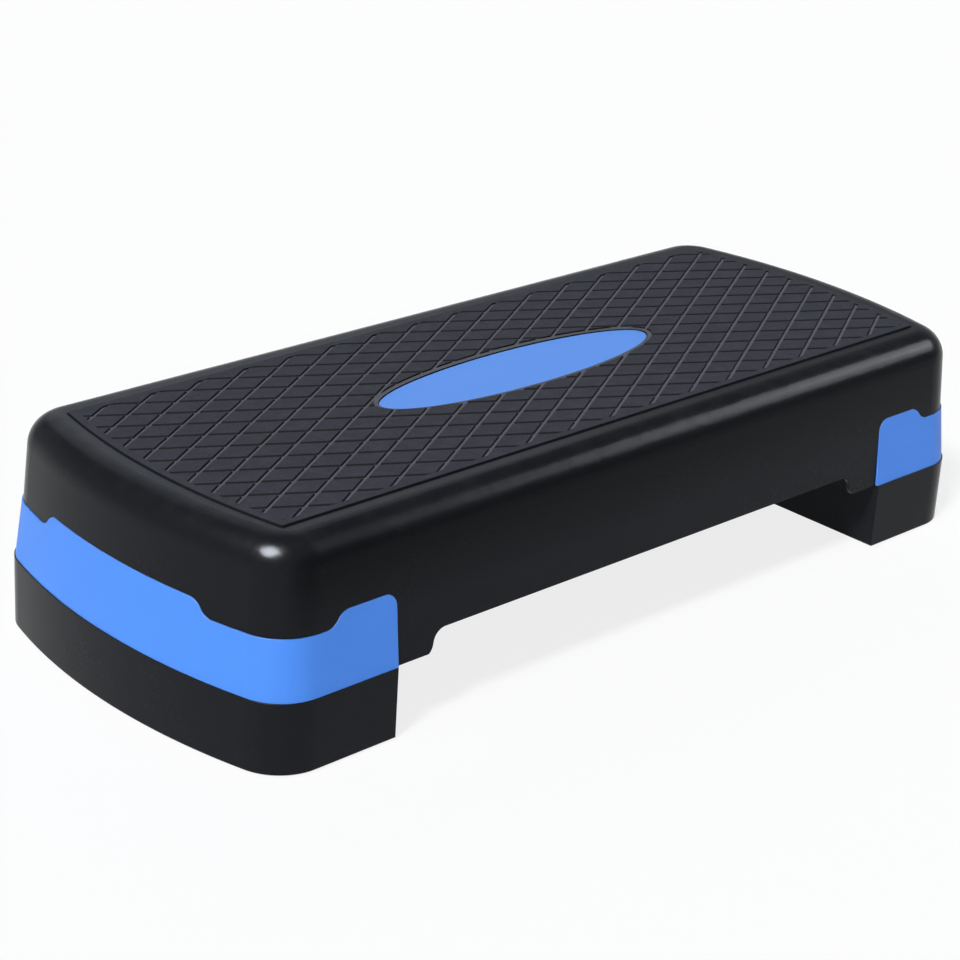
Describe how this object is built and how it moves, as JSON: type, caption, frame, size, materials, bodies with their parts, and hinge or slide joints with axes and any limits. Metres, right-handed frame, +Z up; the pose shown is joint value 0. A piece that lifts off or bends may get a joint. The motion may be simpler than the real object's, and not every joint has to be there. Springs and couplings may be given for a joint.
{
  "type": "aerobic step platform",
  "caption": "Low bench-like step with a ribbed black deck, diamond-grooved tread mat, blue oval plaque, blue end caps and pull-off black risers on rubber pads.",
  "frame": {"origin": "centre of the footprint, on the floor under the riser pads", "axes": "+X along the step's length to the right end, +Y from the front long side to the back one, +Z up"},
  "size_m": [0.7, 0.291, 0.15],
  "materials": {
    "black_plastic": "satin moulded",
    "tread_rubber": "matt",
    "blue_plastic": "satin moulded",
    "pad_rubber": "matt",
    "screw_steel": "zinc plated"
  },
  "bodies": {
    "deck": {"deck_shell": "black_plastic", "tread_mat": "tread_rubber", "oval_plaque": "blue_plastic", "left_end_cap": "blue_plastic", "left_cap_screws": "screw_steel", "left_cap_front_inner_pad": "pad_rubber", "left_cap_back_inner_pad": "pad_rubber", "left_cap_front_outer_pad": "pad_rubber", "left_cap_back_outer_pad": "pad_rubber", "right_end_cap": "blue_plastic", "right_cap_screws": "screw_steel", "right_cap_front_inner_pad": "pad_rubber", "right_cap_back_inner_pad": "pad_rubber", "right_cap_front_outer_pad": "pad_rubber", "right_cap_back_outer_pad": "pad_rubber"},
    "left_riser": {"left_riser": "black_plastic", "left_riser_front_inner_pad": "pad_rubber", "left_riser_back_inner_pad": "pad_rubber", "left_riser_front_outer_pad": "pad_rubber", "left_riser_back_outer_pad": "pad_rubber"},
    "right_riser": {"right_riser": "black_plastic", "right_riser_front_inner_pad": "pad_rubber", "right_riser_back_inner_pad": "pad_rubber", "right_riser_front_outer_pad": "pad_rubber", "right_riser_back_outer_pad": "pad_rubber"}
  },
  "joints": [
    {"name": "left_riser_pull", "type": "slide", "parent": "deck", "child": "left_riser", "axis": [0, 0, -1], "range_m": [0, 0.03]},
    {"name": "right_riser_pull", "type": "slide", "parent": "deck", "child": "right_riser", "axis": [0, 0, -1], "range_m": [0, 0.03]}
  ]
}
